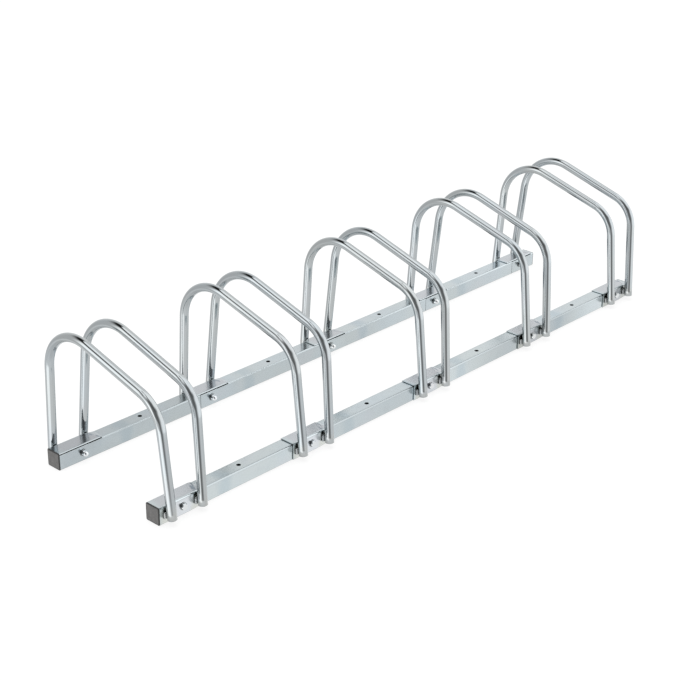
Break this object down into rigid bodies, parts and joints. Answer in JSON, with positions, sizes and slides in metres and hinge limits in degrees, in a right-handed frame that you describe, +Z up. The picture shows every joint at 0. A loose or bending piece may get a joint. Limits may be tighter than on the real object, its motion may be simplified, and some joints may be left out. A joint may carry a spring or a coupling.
{
  "type": "floor bike rack",
  "caption": "Zinc-plated floor rack for bicycles: bent tube hoops in splayed pairs, welded to sectional square rails that lap and bolt together at each pair.",
  "frame": {"origin": "on the floor, under the middle of the rack", "axes": "+X along the rails, +Y towards the tall side of the hoops, +Z up"},
  "size_m": [1.3, 0.3193, 0.2609],
  "materials": {
    "rail_zinc": "bright zinc plating, glossy with soft reflections",
    "tube_zinc": "bright zinc plating, nearly mirror-like on the tubes",
    "fastener_zinc": "bright zinc plating, slightly duller on the cut edges",
    "plug_plastic": "fine-grained matt moulding"
  },
  "bodies": {
    "root": {"back_rail_1": "rail_zinc", "back_rail_2": "rail_zinc", "back_rail_3": "rail_zinc", "back_rail_4": "rail_zinc", "back_rail_5": "rail_zinc", "front_rail_1": "rail_zinc", "front_rail_2": "rail_zinc", "front_rail_3": "rail_zinc", "front_rail_4": "rail_zinc", "front_rail_5": "rail_zinc", "hoop_1_left": "tube_zinc", "hoop_1_right": "tube_zinc", "hoop_2_left": "tube_zinc", "hoop_2_right": "tube_zinc", "hoop_3_left": "tube_zinc", "hoop_3_right": "tube_zinc", "hoop_4_left": "tube_zinc", "hoop_4_right": "tube_zinc", "hoop_5_left": "tube_zinc", "hoop_5_right": "tube_zinc", "back_left_plug": "plug_plastic", "front_left_plug": "plug_plastic", "back_right_plug": "plug_plastic", "front_right_plug": "plug_plastic", "cross_bolts": "fastener_zinc", "bolt_washers": "fastener_zinc", "nut_washers": "fastener_zinc", "cap_nuts": "fastener_zinc"}
  },
  "joints": []
}
